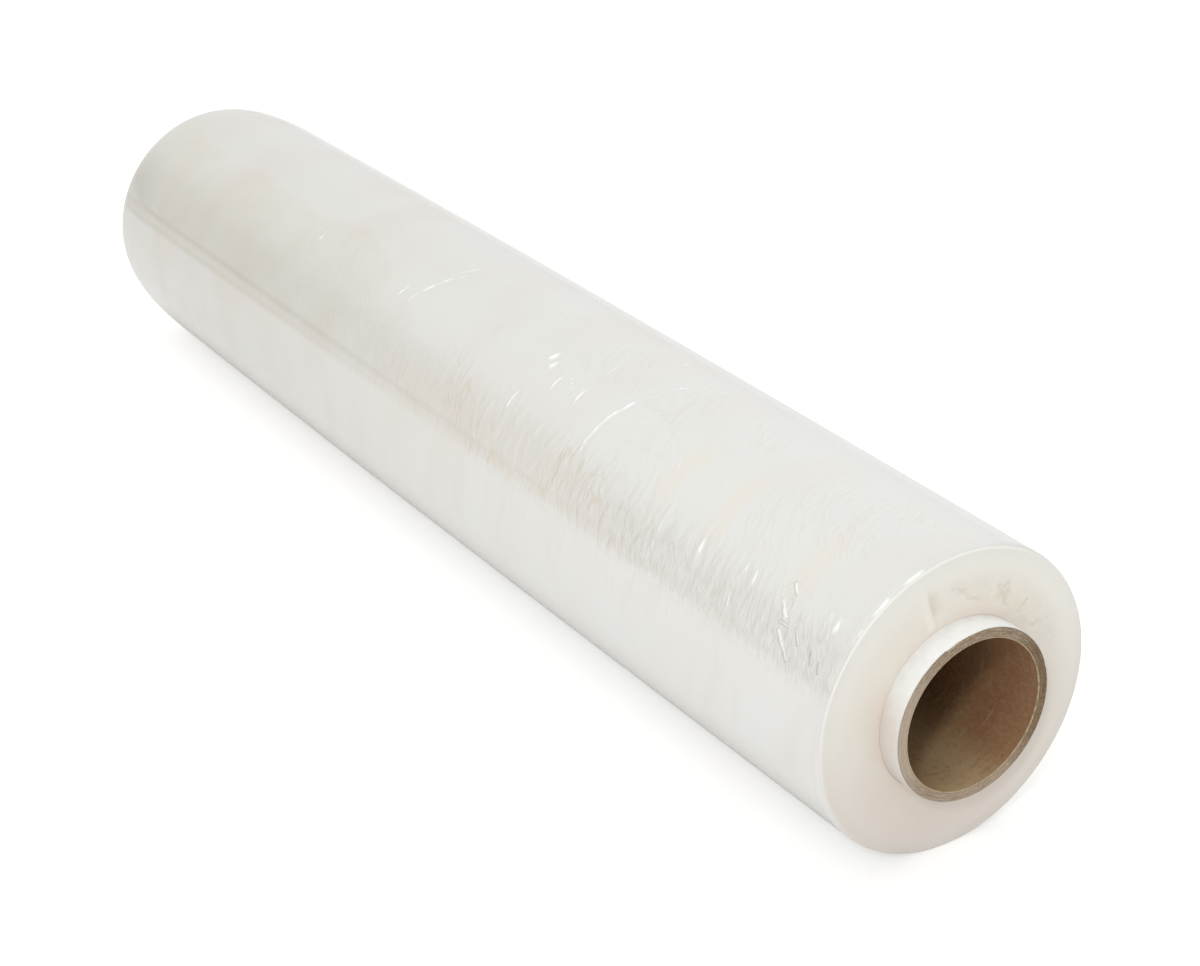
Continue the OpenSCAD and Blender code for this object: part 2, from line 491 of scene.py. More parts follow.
# Short creases in the near end face: from and to as radius in mm and angle, half width in mm and strength
faceCreases = [
    (39.7, 5.9, 37.5, -1.4, 1.0, 0.8),
    (41.1, 5.4, 39.6, -3.0, 0.8, 0.4),
    (36.6, -0.9, 34.3, -5.7, 0.7, 0.8),
    (34.3, -5.7, 33.8, -9.9, 0.8, 0.9),
    (33.8, -9.9, 36.4, -10.6, 0.6, 0.6),
    (37.6, -21.0, 39.2, -27.2, 0.8, 0.9),
    (35.9, -23.2, 36.5, -28.6, 1.5, 0.9),
    (35.5, -24.7, 33.4, -23.4, 0.7, 0.7),
    (35.5, -26.9, 33.1, -29.7, 1.0, 1.0),
    (33.1, -29.7, 32.3, -36.1, 0.8, 0.7),
    (33.0, -41.5, 35.7, -43.2, 0.6, 0.8),
    (35.7, -43.2, 37.6, -42.0, 0.8, 1.0),
    (31.6, -45.7, 32.7, -48.2, 0.6, 0.6),
    (32.7, -48.2, 31.4, -51.6, 0.6, 0.7),
    (33.0, -57.1, 36.5, -59.2, 0.7, 0.8),
    (36.5, -59.2, 38.9, -62.5, 0.6, 0.7),
    (38.0, -66.0, 39.1, -74.8, 0.6, 0.6),
    (43.4, -38.0, 43.6, -43.4, 0.9, 0.3),
]


def sideRadius(x):  # the wound body's radius at a place along X
    half = film["half"]
    nearLength, nearDrop = film["nearEdge"]
    farLength, farDrop = film["farEdge"]
    crown = np.where(x > 0, film["crown"][0], film["crown"][1]) * (x / half) ** 2
    near = np.clip((x - half + nearLength) / nearLength, 0, 1)
    far = np.clip((-half + farLength - x) / farLength, 0, 1)
    rounding = nearDrop * (1 - np.sqrt(1 - near**2)) + farDrop * (1 - np.sqrt(1 - far**2))
    return rollRadius - crown - rounding


def sideStations():  # places of the rings along the side, close together where the film is wrinkled
    half = film["half"]
    nearLength = film["nearEdge"][0]
    farLength = film["farEdge"][0]
    far = [-half + farLength * (1 - math.cos(math.radians(a))) for a in range(0, 90, 6)]
    low, high = film["wrinkled"]
    coarse = int((low - (farLength - half)) / film["ringCoarse"])
    fine = int((high - low) / film["ringFine"])
    smooth = np.linspace(farLength - half, low, coarse, endpoint=False)
    wrinkled = np.linspace(low, high, fine, endpoint=False)
    last = np.linspace(high, half - nearLength, 4, endpoint=False)
    near = [half - nearLength * (1 - math.sin(math.radians(a))) for a in range(0, 91, 9)]
    return [*far, *smooth, *wrinkled, *last, *near]


def faceRadii(outer):  # from inside the rim to the bore, with close rings that keep the bore's edge crisp
    radii = np.linspace(outer, filmBore + 0.0008, film["faceRings"])
    return [float(radius) for radius in radii[1:]] + [filmBore + 0.0003, filmBore + 0.0001, filmBore]


def filmOutline():
    side = [(x, float(sideRadius(np.array(x)))) for x in sideStations()]
    near = [(film["half"], radius) for radius in faceRadii(side[-1][1])]
    far = [(-film["half"], radius) for radius in reversed(faceRadii(side[0][1]))]
    return side + near + far


def foldHeights(x, turn, folds):  # heights of the folds, and how near each place is to a crest
    height = np.zeros_like(x)
    crests = np.zeros_like(x)
    for place, middle, spread, lean, bow, width, rise in folds:
        along = ((turn - middle + 180) % 360 - 180) / spread
        near = (np.abs(along) < 1) & (np.abs(x * 1000 - place) < 12 * width + abs(lean) + abs(bow))
        share = along[near]
        wander = 0.3 * width * np.sin(share * spread * 0.55 + place)
        off = (x[near] * 1000 - place - wander - lean * share - bow * share**2) / width
        crest = np.exp(-np.where(off > 0, off * 1.3, off * 0.8) ** 2)  # steeper on the near side
        dip = 0.30 * np.exp(-(((off - 1.9) / 1.1) ** 2))
        uneven = 1 + 0.25 * np.sin(share * spread * 0.9 + place * 1.7)
        fade = np.cos(share * math.pi / 2) ** 0.8 * uneven
        height[near] += rise * 0.001 * (crest - dip) * fade
        crests[near] = np.maximum(crests[near], crest * fade)
    return height, crests


def fineFolds(count, draw):  # short slack wrinkles, thickest over the front of the near half
    folds = []
    for _ in range(count):
        place = draw.uniform(-40, 242)
        middle = max(draw.normal(61, 9), 47)
        spread = draw.uniform(4, 12)
        lean = draw.normal(-1.0, 1.7) * spread / 12
        bow = draw.normal(0, 0.5)
        width = draw.uniform(0.55, 1.15)
        strength = float(smoothRise(np.array(place), -40.0, 110.0)) * 0.8 + 0.2
        rise = strength * draw.uniform(0.04, 0.13) * draw.choice([1, 1, -1])
        folds.append((place, middle, spread, lean, bow, width, rise))
    return folds


def shapeFilm(data):
    half = film["half"]
    x, turn, radius = readRoll(data)
    draw = np.random.default_rng(film["seed"])
    side = radius > sideRadius(x) - 0.0004
    wound = sideRadius(x)
    ends = smoothRise(half - np.abs(x), 0.0015, 0.008)
    waves = 0.00005 * aroundWave(turn, 3, 4, 1, 4) * np.sin(x * 41 + 0.7)
    waves += 0.00004 * np.sin(x * 190 + 1.3) * aroundWave(turn, 4, 3, 1, 3)
    tail = ((turn - film["tailTurn"]) % 360) / 360 * film["tailStep"]
    folds, crests = foldHeights(x, turn, longFolds)
    folds += foldHeights(x, turn, fineFolds(film["fineCount"], draw))[0]
    radius = np.where(side, wound + (folds + waves) * ends + tail, radius)
    # how near each place is to a long fold's crest, where the material paints a glint
    glintCrests = data.attributes.new("crest", "FLOAT", "POINT")
    glintCrests.data.foreach_set("value", crests * side)
    face = ~side
    shape = faceRelief(x, turn, radius)
    creased = creaseShares(turn, radius) * (x > 0)
    creases = data.attributes.new("creased", "FLOAT", "POINT")
    creases.data.foreach_set("value", creased * face)
    x = np.where(face, np.sign(x) * (half + shape - 0.00005 * creased), x)
    writeRoll(data, x, turn, radius, floorLevel=0.0)


def faceRelief(x, turn, radius):  # how far an end face stands proud of its plane
    collar = 0.00010 * np.exp(-(((radius - filmBore) / 0.0012) ** 2))
    sag = 0.00012 * aroundWave(turn, 11, 4, 2, 7) * smoothRise(radius, 0.029, 0.036)
    bent = turn + film["creaseBend"] * smoothRise(radius, 0.0385, 0.0470)
    off = (radius * np.radians((bent - film["creaseTurn"] + 180) % 360 - 180)) * 1000
    reach = smoothRise(radius, 0.0285, 0.031) * (1 - smoothRise(radius, 0.043, 0.0475))
    fold = np.exp(-((off / 1.1) ** 2)) - 0.5 * np.exp(-(((off + 2.1) / 1.2) ** 2))
    crease = 0.00030 * fold * reach * (x > 0)
    return collar + sag + crease


def creaseShares(turn, radius):  # how near each place on an end face is to one of its short creases
    angle = np.radians(turn)
    across, up = radius * np.sin(angle) * 1000, radius * np.cos(angle) * 1000
    bent = across + 0.35 * np.sin(up * 2.3 + 0.4) + 0.2 * np.sin(up * 5.1 + across)
    raised = up + 0.35 * np.sin(across * 1.9) + 0.2 * np.sin(across * 4.7 + up)
    shares = np.zeros_like(turn)
    for fromRadius, fromTurn, toRadius, toTurn, width, strength in faceCreases:
        start = np.array([math.sin(math.radians(fromTurn)), math.cos(math.radians(fromTurn))]) * fromRadius
        stop = np.array([math.sin(math.radians(toTurn)), math.cos(math.radians(toTurn))]) * toRadius
        run = stop - start
        along = ((bent - start[0]) * run[0] + (raised - start[1]) * run[1]) / (run @ run)
        along = np.clip(along, 0, 1)
        gap = np.hypot(bent - start[0] - along * run[0], raised - start[1] - along * run[1])
        shares = np.maximum(shares, strength * np.clip(1 - gap / width / 1.3, 0, 1))
    return shares


def filmMaterial():
    material, graph = startMaterial("stretchFilm")
    paint = film["colours"]
    place, x, y, up, turn, radius = rollCoordinates(graph)
    half = film["half"]
    end = graph.ease(abs(x), half - 0.0009, half - 0.0002)

    def between(low, rise, fall, high):
        return graph.span(turn, low, rise, fall, high)

    # the cut ends of the turns: waxy cream, with painted light at the rim and painted shade making them
    # browner towards the core and at the bottom
    # painted light and shade: paler at the rim, where light comes through the film, and browner towards the
    # core
    inward = 1.0 - graph.ease(radius, 0.0285, 0.0500)
    cream = graph.tint(inward, paint["waxOuter"], paint["waxInnerShade"])
    # painted shade: the face darker and pinker towards the bottom
    lowerShade = graph.ease(-up, -0.03, 0.05)
    cream = graph.tint(lowerShade * 0.62, cream, paint["waxLowShade"])
    # painted shade in the corner where the face meets the collar
    hug = 1.0 - graph.ease(radius, 0.0288, 0.0325)
    cream = graph.tint(hug * 0.35, cream, paint["waxCoreShade"])
    cloud = graph.noise(place, 45.0, 1.0, 0.55)
    cream = graph.tint(graph.ease(cloud, 0.45, 0.75) * 0.35, cream, paint["waxCloud"])
    creased = graph.node("Attribute", {"attribute_name": "creased"})["Fac"]
    yellowed = between(-92, -52, -6, 16) * graph.ease(radius, 0.0300, 0.0335)
    yellowed = yellowed * (1.0 - graph.ease(radius, 0.0385, 0.0440)) * graph.ease(x, 0.0, 0.1)
    yellowed = yellowed * (0.25 + 0.75 * graph.ease(graph.noise(place, 190.0, 2.0, 0.6), 0.40, 0.60))
    cream = graph.tint(yellowed * 0.24, cream, paint["waxYellowed"])
    broken = graph.ease(graph.noise(place, 420.0, 1.0), 0.34, 0.57)
    # painted shade along the short creases
    veins = graph.ease(creased, 0.10, 0.90) * (0.55 + 0.45 * broken)
    cream = graph.tint(veins * 0.38, cream, paint["creaseShade"])
    bend = graph.ease(radius, 0.0385, 0.0470) * math.radians(film["creaseBend"])
    across = (turn + bend - math.radians(film["creaseTurn"])) * radius
    reach = graph.ease(radius, 0.0288, 0.0310) * (1.0 - graph.ease(radius, 0.0440, 0.0485))
    reach = reach * graph.ease(x, 0.0, 0.1)
    # the radial fold: painted light down its lit side and painted shade beside its other side
    left = 1.0 - graph.ease(across, 0.0006, 0.0022)
    crease = left * graph.ease(across, -0.0013, -0.0006) * reach
    shade = graph.ease(-across, 0.0008, 0.0016) * (1.0 - graph.ease(-across, 0.0016, 0.0062))
    shade = shade * reach * graph.ease(radius, 0.0320, 0.0360) * (1.0 - graph.ease(radius, 0.0395, 0.0440))
    cream = graph.tint(crease * 0.80, cream, paint["foldLight"])
    cream = graph.tint(shade * 0.42, cream, paint["foldShade"])

    # the outer turns: milky and smooth, with faint beige clouds, mottled where the far half is slack, and
    # painted shade, light and reflection of the room's dark side
    cloudy = graph.noise(graph.vector(x * 34.0, y * 16.0, up * 16.0), 1.0, 1.0, 0.5)
    dimmer = graph.ease(-x, -0.22, 0.24)
    beige = graph.ease(cloudy, 0.42, 0.70) * (0.35 + 0.65 * dimmer)
    milky = graph.tint(beige, paint["milk"], paint["milkBeige"])
    # painted shade: the far half darker
    milky = graph.tint(dimmer, milky, paint["farShadeDim"], "MULTIPLY")
    # painted shade over the upper front
    milky = graph.tint(between(-12, 18, 46, 80), milky, paint["shoulderShadeDim"], "MULTIPLY")
    angle = turn * (180 / math.pi)
    arc = turn * rollRadius
    ragged = (graph.noise(place, 38.0, 2.0, 0.6) - 0.5) * 24.0
    top = 21.0 - graph.ease(-x, 0.20, 0.245) * 14.0 + graph.ease(x, -0.07, 0.01) * 26.0 + ragged
    lowered = angle - dimmer * 2.5  # the lower edge of the darker band lies further down on the far half
    # mottled slack film with a painted reflection of the room's dark side, in the band above the lower
    # front of the far half
    slumpAndReflection = graph.ease(angle - top, -2.0, 3.5) * (1.0 - graph.ease(lowered, 70.0, 73.5))
    slumpAndReflection = slumpAndReflection * graph.ease(-x, -0.06, 0.12)
    mottle = graph.noise(graph.vector(x * 60.0 + arc * 18.0, arc * 50.0, 7.0), 1.0, 3.0, 0.65)
    brown = slumpAndReflection * (0.66 + 0.34 * graph.ease(mottle, 0.38, 0.62))
    olive = graph.tint(graph.ease(angle - top, 0.0, 16.0), paint["slumpReflectionUpper"], paint["slumpReflectionLower"])
    milky = graph.tint(brown * (0.34 - dimmer * 0.04), milky, olive)
    # painted reflection of the room's dark side, darkest at the far rounding
    tip = graph.ease(-x, 0.208, 0.244) * between(36, 60, 67, 75)
    milky = graph.tint(tip * 0.4, milky, paint["farTipShade"])
    # painted reflection: a darker strip at the lower edge of the dark band
    reflectedEdge = graph.ease(angle, 65.0, 68.0) * (1.0 - graph.ease(lowered, 69.8, 72.4))
    milky = graph.tint(reflectedEdge * (0.4 + dimmer * 0.6), milky, paint["reflectedEdgeDim"], "MULTIPLY")
    # painted shade on the lower front, below that edge
    milky = graph.tint(between(70, 74, 75, 101), milky, paint["lowShadeDim"], "MULTIPLY")
    streaky = graph.noise(graph.vector(x * 52.0 + arc * 12.0, arc * 13.0, 3.0), 1.0, 2.0, 0.55)
    lowTurn = between(70, 76, 130, 160)
    milky = graph.tint(lowTurn * graph.ease(streaky, 0.46, 0.66) * 0.30, milky, paint["lowStreak"])
    # painted light on the lower front of the near half
    milky = graph.tint(lowTurn * (1.0 - dimmer) * 0.30, milky, paint["lowLit"])
    wavy = x + (graph.noise(place, 70.0, 0.0) - 0.5) * 0.008
    gap = 1.0
    for spot in film["peachPlaces"]:
        gap = graph.maths("MINIMUM", gap, abs(wavy - spot))
    peach = (1.0 - graph.ease(gap, 0.0010, 0.0062)) * between(12, 26, 44, 56)
    milky = graph.tint(peach * 0.4, milky, paint["peach"])
    # painted shade on the underside near the floor
    footShade = between(108, 122, 150, 175)
    milky = graph.tint(footShade * 0.12, milky, paint["footShade"])
    # painted light on the underside
    milky = graph.tint(between(98, 112, 128, 150) * 0.4, milky, paint["bellyLight"])

    # slack turns: loops of hair-fine folds, and a fur of short ones on the near half's front, with painted
    # shade along their lines, a painted tan reflection over the band, and painted glints on the fold crests
    sway = graph.noise(place, 15.0, 1.0)
    leaning = x - turn * 0.020 + (sway - 0.5) * 0.026
    combed = leaning + (graph.noise(place, 130.0, 1.0) - 0.5) * 0.004
    wide = graph.noise(graph.vector(combed * 150.0, y * 34.0, up * 34.0), 1.0, 1.0, 0.55)
    fine = graph.noise(graph.vector(combed * 340.0, y * 62.0, up * 62.0), 1.0, 1.0, 0.6)
    fur = graph.noise(graph.vector(combed * 1600.0, y * 230.0, up * 230.0), 1.0, 1.0, 0.5)
    loops = 1.0 - graph.ease(abs(wide - 0.5), 0.0, 0.030)
    hairs = 1.0 - graph.ease(abs(fine - 0.5), 0.0, 0.050)
    patch = graph.ease(graph.noise(place, 30.0, 1.0), 0.42, 0.58)
    near = graph.ease(x, -0.05, 0.05)
    looped = near * (1.0 - graph.ease(x, 0.14, 0.19)) * between(30, 52, 71, 75) * (0.3 + 0.7 * patch)
    upper = between(-20, 2, 50, 66) * (0.12 + 0.40 * patch)
    haired = near * (upper + between(38, 60, 70, 73) * (0.4 + 0.6 * patch))
    haired = graph.maths("MAXIMUM", haired, slumpAndReflection * graph.ease(x, -0.16, -0.02) * 0.7)
    feather = graph.noise(graph.vector(leaning * 600.0, y * 60.0, up * 60.0), 1.0, 1.0)
    feather = angle + (feather - 0.5) * 8.0
    furEdges = graph.ease(feather, 47.0, 62.0) * (1.0 - graph.ease(feather, 70.0, 72.5))
    furred = graph.ease(x, 0.09, 0.16) * furEdges
    # painted reflection of the room's dark side, tan, in the band above the lower front of the near half
    reflectedTan = near * (1.0 - graph.ease(x, 0.10, 0.17)) * between(42, 60, 70, 73) * (0.45 + 0.55 * patch)
    milky = graph.tint(reflectedTan * 0.20, milky, paint["reflectedTan"])
    # painted shade along the fine lines of the slack folds
    milky = graph.tint(loops * looped * 0.40, milky, paint["loopShade"])
    milky = graph.tint(hairs * haired * 0.25, milky, paint["hairShade"])
    strokes = furred * (0.30 + 0.70 * graph.ease(fur, 0.48, 0.60))
    milky = graph.tint(strokes * 0.33, milky, paint["fur"])
    # painted glints: the fold crests and the slanting folds whitened in place of their highlights
    crest = graph.node("Attribute", {"attribute_name": "crest"})["Fac"]
    white = graph.ease(crest, 0.35, 0.95) * (0.35 + 0.65 * broken)
    gap = 1.0
    unrolled = graph.vector(x, arc, 1.0)
    for fromX, fromTurn, toX, toTurn, width in slantFolds:
        start = (fromX * 0.001, math.radians(fromTurn) * rollRadius)
        stop = (toX * 0.001, math.radians(toTurn) * rollRadius)
        gap = graph.maths("MINIMUM", gap, graph.strokeGap(unrolled, start, stop, width * 0.001))
    slant = 1.0 - gap
    white = graph.maths("MAXIMUM", white, graph.ease(slant, 0.25, 0.8) * (0.5 + 0.5 * broken))
    milky = graph.tint(white * 0.8, milky, paint["crestGlint"])
    colour = graph.tint(end, milky, cream)

    side = 1.0 - end
    # the near rim: dull, darkened by painted shade, with a painted highlight in three pieces
    rim = graph.ease(x, half - 0.0040, half - 0.0015) * graph.ease(radius, 0.0460, 0.0478)
    shine = between(16, 18.5, 24, 26.5) + between(31, 34, 38.5, 41) + between(45, 46, 47.5, 48.5) * 0.7
    shine = shine * (0.5 + 0.5 * graph.ease(graph.noise(place, 160.0, 1.0), 0.34, 0.56))
    thread = graph.ease(x, half - 0.0017, half - 0.0012)
    thread = thread * (1.0 - graph.ease(x, half - 0.0008, half - 0.0004))
    colour = graph.tint(rim * 0.5, colour, paint["rimShadeDim"], "MULTIPLY")
    colour = graph.tint(thread * shine * 0.9, colour, paint["rimHighlight"])
    swell = graph.noise(graph.vector(x * 26.0, y * 17.0, up * 17.0), 1.0, 0.0)
    slack = loops * looped * 0.32 + hairs * haired * 0.20 + fur * furred * 0.43
    turns = graph.noise(graph.vector(0.0, radius * 5200.0, 0.0), 1.0, 1.0)
    pores = graph.noise(place, 900.0, 0.0)
    crinkle = graph.noise(place, 700.0, 1.0, 0.6) * hug * between(5, 30, 70, 110) * 2.2
    waxy = (turns * 0.4 + pores * 0.3 - veins * 1.6 + crinkle) * 0.13
    finish = graph.bump((swell + slack + slant * 1.67) * side + waxy * end, 0.0003)

    sockets = {
        "Base Color": colour,
        "Roughness": 0.11 + end * 0.24 + cloudy * 0.04 + rim * 0.42,
        "IOR": 1.5,
        "Coat Weight": 0.55 - rim * 0.5,
        "Coat Roughness": 0.03,
        "Coat IOR": 1.5,
        "Normal": finish,
    }
    graph.finish(graph.node("BsdfPrincipled", None, sockets)["BSDF"])
    return material


def makeFilm():
    mesh = spinOutline(filmOutline(), film["steps"])
    half = film["half"]
    low, high = film["wrinkled"]
    front, back = film["wrinkledTurn"][1], film["wrinkledTurn"][0]

    def inWrinkles(point):
        radius = math.hypot(point.y, point.z - axisHeight)
        return low < point.x < high and radius > 0.045 and back < turnOf(point) < front

    def nearFold(point):
        turn = turnOf(point)
        for place, middle, spread, lean, bow, width, rise in longFolds:
            share = (turn - middle) / spread
            off = point.x * 1000 - place - lean * share - bow * share**2
            if abs(share) < 1.05 and abs(off) < 2.8 * width + 0.5 and point.x < half - 0.001:
                return True
        return False

    def onNearFace(point):
        return point.x > half - 1e-5 and math.hypot(point.y, point.z - axisHeight) > filmBore + 1e-5

    def inCreases(point):
        radius = math.hypot(point.y, point.z - axisHeight)
        return point.x > half - 1e-5 and 0.0305 < radius < 0.0425 and -80 < turnOf(point) < 10

    refine(mesh, inWrinkles)
    refine(mesh, onNearFace)
    refine(mesh, inCreases)
    sliceFaces(mesh, nearFold, 3)
    piece = makePiece("filmWrap", mesh, filmMaterial())
    shapeFilm(piece.data)
    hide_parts("film_roll")
    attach(piece, "root")
    return piece


filmPiece = makeFilm()
print("film wound,", sum(len(p.vertices) - 2 for p in filmPiece.data.polygons), "triangles")


# Core of brown board

core = {
    "wall": 0.00325,
    "plies": 7,
    "lineDepth": 0.00015,  # of the lines between the plies on the cut ends
    "slope": 0.12,  # share of a ply that slopes down to the line beside it
    "steps": 216,
    "boreRings": 40,
    "stepTurn": 26.6,  # where the outer ply ends and leaves a step in the near rim
    "stepDrop": 0.00034,
    "lip": 0.00030,  # how far the outer ply's end flares over the facing beside that step
    "lipSpread": 34.0,
    "stepSpread": 50.0,  # degrees over which the rim comes back
    "slitTurn": -71.8,  # where the outer ply has come away from the facing
    "slitHalf": 2.8,  # degrees
    "slitDepth": 0.00032,
    "colours": {
        "kraft": (0.330, 0.218, 0.108, 1),
        "kraftRed": (0.285, 0.138, 0.066, 1),
        "kraftRight": (0.240, 0.112, 0.060, 1),
        "deepShadeDim": (0.80, 0.76, 0.76, 1),
        "kraftBottom": (0.50, 0.365, 0.21, 1),
        "fibre": (0.35, 0.25, 0.14, 1),
        "creaseDark": (0.27, 0.15, 0.08, 1),
        "creasePale": (0.42, 0.33, 0.20, 1),
        "fleckPale": (0.42, 0.31, 0.19, 1),
        "fleckDark": (0.15, 0.09, 0.045, 1),
        "speck": (0.12, 0.07, 0.035, 1),
        "plyDark": (0.265, 0.198, 0.130, 1),
        "plyPale": (0.52, 0.415, 0.310, 1),
        "streakDark": (0.22, 0.155, 0.10, 1),
        "streakPale": (0.58, 0.46, 0.35, 1),
        "parting": (0.17, 0.12, 0.08, 1),
        "outerPly": (0.22, 0.165, 0.115, 1),
        "slit": (0.05, 0.03, 0.02, 1),
        "leftLit": (0.67, 0.55, 0.455, 1),
        "rightShadeDim": (0.63, 0.56, 0.47, 1),
        "bottomLit": (0.66, 0.53, 0.42, 1),
        "plyLine": (0.16, 0.12, 0.09, 1),
        "behindLiner": (0.17, 0.13, 0.09, 1),
        "liner": (0.56, 0.44, 0.28, 1),
    },
}
boreRadius = boardRadius - core["wall"]


def coreOutline():
    ply = core["wall"] / core["plies"]
    ends = []
    for i in range(core["plies"]):
        inner = boreRadius + i * ply
        ends.append((boardHalf, inner + ply * core["slope"]))
        ends.append((boardHalf, inner + ply / 2))
        ends.append((boardHalf, inner + ply * (1 - core["slope"])))
        ends.append((boardHalf - core["lineDepth"], inner + ply))
    near = [(boardHalf - core["lineDepth"], boreRadius)] + ends + [(boardHalf - 0.00022, boardRadius)]
    far = [(-x, radius) for x, radius in reversed(near)]
    bore = [(float(x), boreRadius) for x in np.linspace(-boardHalf, boardHalf, core["boreRings"] + 2)[1:-1]]
    return near + far + bore


def rimStep(turn):  # how far the near rim is drawn in, past the end of the outer ply
    behind = (core["stepTurn"] - turn) % 360
    return core["stepDrop"] * (1 - smoothRise(behind, core["stepSpread"] * 0.3, core["stepSpread"]))


def shapeCore(data):
    x, turn, radius = readRoll(data)
    ply = core["wall"] / core["plies"]
    atEnd = smoothRise(np.abs(x), boardHalf - 0.0004, boardHalf - 0.0001)
    number = np.clip(((radius - boreRadius) / ply).astype(int), 0, core["plies"] - 1)
    ragged = np.zeros_like(x)
    for i in range(core["plies"]):
        wave = aroundWave(turn, 30 + i, 9, 3, 60)
        ragged += np.where(number == i, wave, 0)
    fray = np.where(x > 0, 0.00003, 0.00002)
    x = x + np.sign(x) * ragged * fray * atEnd
    x = np.clip(x, -boardHalf, boardHalf)
    outer = smoothRise(radius, boardRadius - 2.2 * ply, boardRadius - 0.3 * ply)
    off = np.abs((turn - core["slitTurn"] + 180) % 360 - 180) / core["slitHalf"]
    slit = core["slitDepth"] * np.clip(1 - off**2, 0, 1)
    radius = radius - (rimStep(turn) + slit) * outer * (x > 0)
    ahead = (turn - core["stepTurn"]) % 360
    lip = core["lip"] * (1 - smoothRise(ahead, core["lipSpread"] * 0.2, core["lipSpread"]))
    radius = radius + lip * outer * (x > boardHalf - 0.0002)
    writeRoll(data, x, turn, radius)


def boardMaterial():
    material, graph = startMaterial("brownBoard")
    paint = core["colours"]
    place, x, y, up, turn, radius = rollCoordinates(graph)

    def between(low, rise, fall, high):
        return graph.span(turn, low, rise, fall, high)

    cut = graph.ease(abs(x), boardHalf - 0.0006, boardHalf - 0.0003)

    # the bore: spiral bands of kraft, redder at the back and greener below, with painted shade deep inside
    spiral = x - turn * boreRadius * 0.62
    tone = graph.noise(graph.vector(spiral * 26.0, 3.0, 5.0), 1.0, 1.0)
    blotch = graph.noise(place, 55.0, 4.0, 0.6)
    redder = graph.ease(tone * 0.5 + blotch * 0.5, 0.38, 0.62)
    kraft = graph.tint(redder, paint["kraft"], paint["kraftRed"])
    kraft = graph.tint(between(-150, -112, -60, -20) * 0.6, kraft, paint["kraftRight"])
    # painted shade deep inside the bore
    deepShade = 1.0 - graph.ease(x, boardHalf - 0.0330, boardHalf - 0.0190)
    kraft = graph.tint(deepShade, kraft, paint["deepShadeDim"], "MULTIPLY")
    bottom = graph.ease(abs(turn), math.radians(138), math.radians(172))
    kraft = graph.tint(bottom * 0.8, kraft, paint["kraftBottom"])
    fibres = graph.noise(graph.vector(x * 700.0, y * 1900.0, up * 1900.0), 1.0, 3.0, 0.6)
    kraft = graph.tint(graph.ease(fibres, 0.4, 0.75) * 0.35, kraft, paint["fibre"])
    creases = graph.noise(graph.vector(x * 520.0, y * 80.0, up * 80.0), 1.0, 3.0, 0.6)
    kraft = graph.tint(graph.ease(creases, 0.52, 0.66) * 0.35, kraft, paint["creaseDark"])
    kraft = graph.tint(graph.ease(0.5 - creases, 0.04, 0.16) * 0.25, kraft, paint["creasePale"])
    flecks = graph.noise(graph.vector(x * 420.0, y * 760.0, up * 760.0), 1.0, 3.0, 0.65)
    kraft = graph.tint(graph.ease(flecks, 0.52, 0.70) * 0.25, kraft, paint["fleckPale"])
    kraft = graph.tint(graph.ease(0.5 - flecks, 0.04, 0.20) * 0.30, kraft, paint["fleckDark"])
    specks = graph.ease(graph.noise(place, 900.0, 1.0), 0.68, 0.76)
    kraft = graph.tint(specks * 0.45, kraft, paint["speck"])

    # the cut end: grey-brown plies, the inner one paler, with painted light on the left and bottom and
    # painted shade on the right
    ply = core["wall"] / core["plies"]
    depth = (radius - boreRadius) / ply
    lineNear = abs(graph.maths("FRACT", depth + 0.5) - 0.5)
    line = 1.0 - graph.ease(lineNear, 0.05, 0.17)
    grain = graph.noise(graph.vector(x * 900.0, turn * 38.0, radius * 4200.0), 1.0, 3.0, 0.65)
    grey = graph.tint(graph.ease(grain, 0.36, 0.64), paint["plyDark"], paint["plyPale"])
    streak = graph.noise(graph.vector(0.0, turn * 6.0, radius * 2600.0), 1.0, 2.0, 0.5)
    grey = graph.tint(graph.ease(streak, 0.52, 0.66) * 0.45, grey, paint["streakDark"])
    grey = graph.tint(graph.ease(0.5 - streak, 0.02, 0.14) * 0.35, grey, paint["streakPale"])
    parting = depth + (graph.noise(graph.vector(turn * 2.2, 0.0, 0.0), 1.0, 2.0) - 0.5) * 1.6
    grey = graph.tint((1.0 - graph.ease(abs(parting - 4.5), 0.10, 0.38)) * 0.5, grey, paint["parting"])
    rim = graph.ease(depth, core["plies"] - 0.75, core["plies"] - 0.1)
    grey = graph.tint(rim * 0.45, grey, paint["outerPly"])
    apart = abs(turn - math.radians(core["slitTurn"]))
    slitHalf = math.radians(core["slitHalf"])
    # painted shade: the slit where the outer ply has come away is nearly black
    slit = (1.0 - graph.ease(apart, slitHalf * 0.6, slitHalf)) * graph.ease(depth, 5.7, 6.2)
    grey = graph.tint(slit * 0.85, grey, paint["slit"])
    # painted light on the left and bottom of the cut end, and painted shade on its right
    leftLight = between(25, 75, 110, 150)
    grey = graph.tint(leftLight * 0.55, grey, paint["leftLit"])
    grey = graph.tint(between(-150, -110, -60, -25), grey, paint["rightShadeDim"], "MULTIPLY")
    grey = graph.tint(graph.ease(-up, 0.018, 0.026) * 0.2, grey, paint["bottomLit"])
    liner = 1.0 - graph.ease(depth, 0.50, 0.72)
    ragged = graph.ease(graph.noise(graph.vector(turn * 9.0, 0.0, 4.0), 1.0, 3.0, 0.6), 0.40, 0.58)
    grey = graph.tint(line * 0.28, grey, paint["plyLine"])
    behind = graph.ease(depth, 0.85, 1.05) * (1.0 - graph.ease(depth, 1.15, 1.5))
    grey = graph.tint(behind * 0.4, grey, paint["behindLiner"])
    grey = graph.tint(liner * (0.35 + 0.6 * ragged), grey, paint["liner"])
    colour = graph.tint(cut, kraft, grey)

